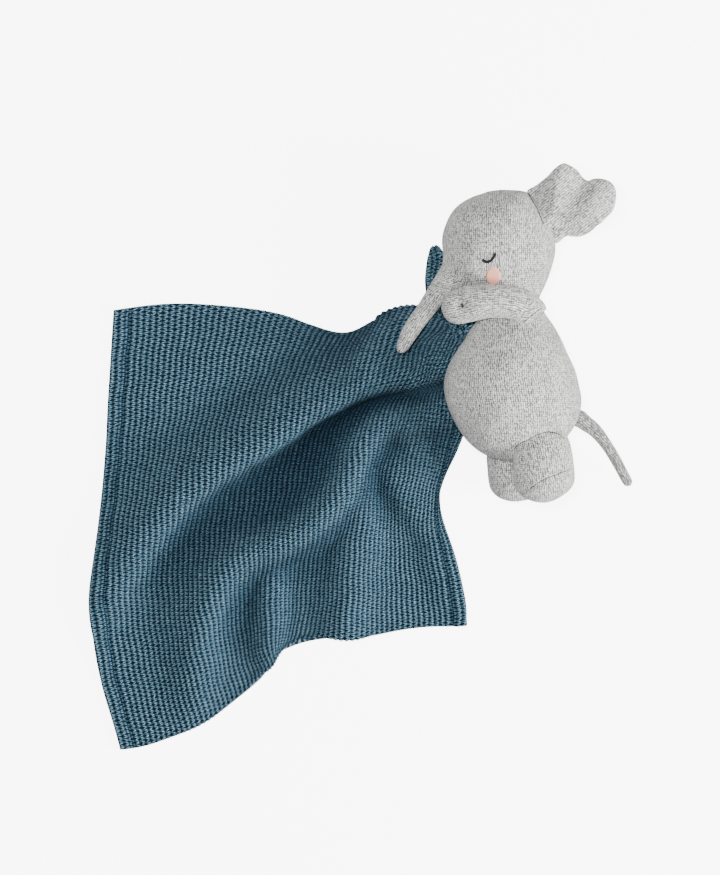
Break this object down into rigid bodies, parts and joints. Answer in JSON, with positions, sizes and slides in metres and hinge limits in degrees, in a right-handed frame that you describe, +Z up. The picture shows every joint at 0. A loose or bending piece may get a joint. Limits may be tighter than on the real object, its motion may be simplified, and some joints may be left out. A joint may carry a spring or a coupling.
{
  "type": "knitted elephant comforter",
  "caption": "Knitted stuffed elephant lying on its side, its paws holding the gathered corner of a garter-stitch cloth.",
  "frame": {"origin": "middle of the flat the belly rests on, on the surface it lies on", "axes": "+Z up from the surface; +Y from the feet to the head; +X from the chest to the back"},
  "size_m": [0.3562, 0.3796, 0.082],
  "materials": {
    "grey_knit": "matte knitted jersey",
    "petrol_knit": "matte garter knit",
    "stuffing_fibre": "loose fibre fill",
    "black_thread": "embroidery thread",
    "pink_patch": "soft felt",
    "grey_thread": "sewing thread"
  },
  "bodies": {
    "torso": {"torso_left_panel": "grey_knit", "torso_right_panel": "grey_knit", "torso_stuffing": "stuffing_fibre"},
    "head": {"head_left_panel": "grey_knit", "head_right_panel": "grey_knit", "head_stuffing": "stuffing_fibre", "left_eye_stitch": "black_thread", "right_eye_stitch": "black_thread", "left_cheek_patch": "pink_patch", "right_cheek_patch": "pink_patch"},
    "trunk": {"trunk_skin": "grey_knit", "trunk_stuffing": "stuffing_fibre"},
    "left_ear": {"left_ear_outer": "grey_knit", "left_ear_inner": "grey_knit"},
    "right_ear": {"right_ear_outer": "grey_knit", "right_ear_inner": "grey_knit"},
    "arms": {"left_arm_skin": "grey_knit", "left_arm_stuffing": "stuffing_fibre", "right_arm_skin": "grey_knit", "right_arm_stuffing": "stuffing_fibre", "paw_tack": "grey_thread", "blanket_gather": "petrol_knit"},
    "left_leg": {"left_leg_skin": "grey_knit", "left_leg_sole": "grey_knit", "left_leg_stuffing": "stuffing_fibre"},
    "right_leg": {"right_leg_skin": "grey_knit", "right_leg_sole": "grey_knit", "right_leg_stuffing": "stuffing_fibre"},
    "tail": {"tail_skin": "grey_knit", "tail_stuffing": "stuffing_fibre"},
    "cloth": {"blanket": "petrol_knit"}
  },
  "joints": [
    {"name": "neck_nod", "type": "hinge", "parent": "torso", "child": "head", "pos_m": [-0.00314, 0.05142, 0.0385], "axis": [0, 0, 1], "range_deg": [-8, 8], "stiffness_Nm_per_rad": 0.15},
    {"name": "trunk_bend", "type": "hinge", "parent": "head", "child": "trunk", "pos_m": [-0.038, 0.0665, 0.042], "axis": [0, 0, -1], "range_deg": [-12, 20], "stiffness_Nm_per_rad": 0.02},
    {"name": "left_ear_flap", "type": "hinge", "parent": "head", "child": "left_ear", "pos_m": [0.01904, 0.10815, 0.0485], "axis": [0.6252, -0.7804, 0], "range_deg": [-15, 40], "stiffness_Nm_per_rad": 0.02},
    {"name": "right_ear_flap", "type": "hinge", "parent": "head", "child": "right_ear", "pos_m": [0.02347, 0.10112, 0.0285], "axis": [0.4337, -0.9011, 0], "range_deg": [-25, 12], "stiffness_Nm_per_rad": 0.02},
    {"name": "arms_swing", "type": "hinge", "parent": "torso", "child": "arms", "pos_m": [0.0095, 0.0455, 0.0385], "axis": [0, 0, 1], "range_deg": [-6, 0], "stiffness_Nm_per_rad": 0.1},
    {"name": "left_leg_swing", "type": "hinge", "parent": "torso", "child": "left_leg", "pos_m": [0.0175, -0.043, 0.0577], "axis": [0, 0, 1], "range_deg": [-15, 18], "stiffness_Nm_per_rad": 0.1},
    {"name": "right_leg_swing", "type": "hinge", "parent": "torso", "child": "right_leg", "pos_m": [0.002, -0.043, 0.0193], "axis": [0, 0, 1], "range_deg": [-15, 18], "stiffness_Nm_per_rad": 0.1},
    {"name": "tail_swing", "type": "hinge", "parent": "torso", "child": "tail", "pos_m": [0.0416, -0.0243, 0.0385], "axis": [0, 0, 1], "range_deg": [-20, 40], "stiffness_Nm_per_rad": 0.01},
    {"name": "blanket_swing", "type": "hinge", "parent": "arms", "child": "cloth", "pos_m": [-0.038, 0.042, 0.016], "axis": [0, 0, 1], "range_deg": [-12, 0]}
  ]
}
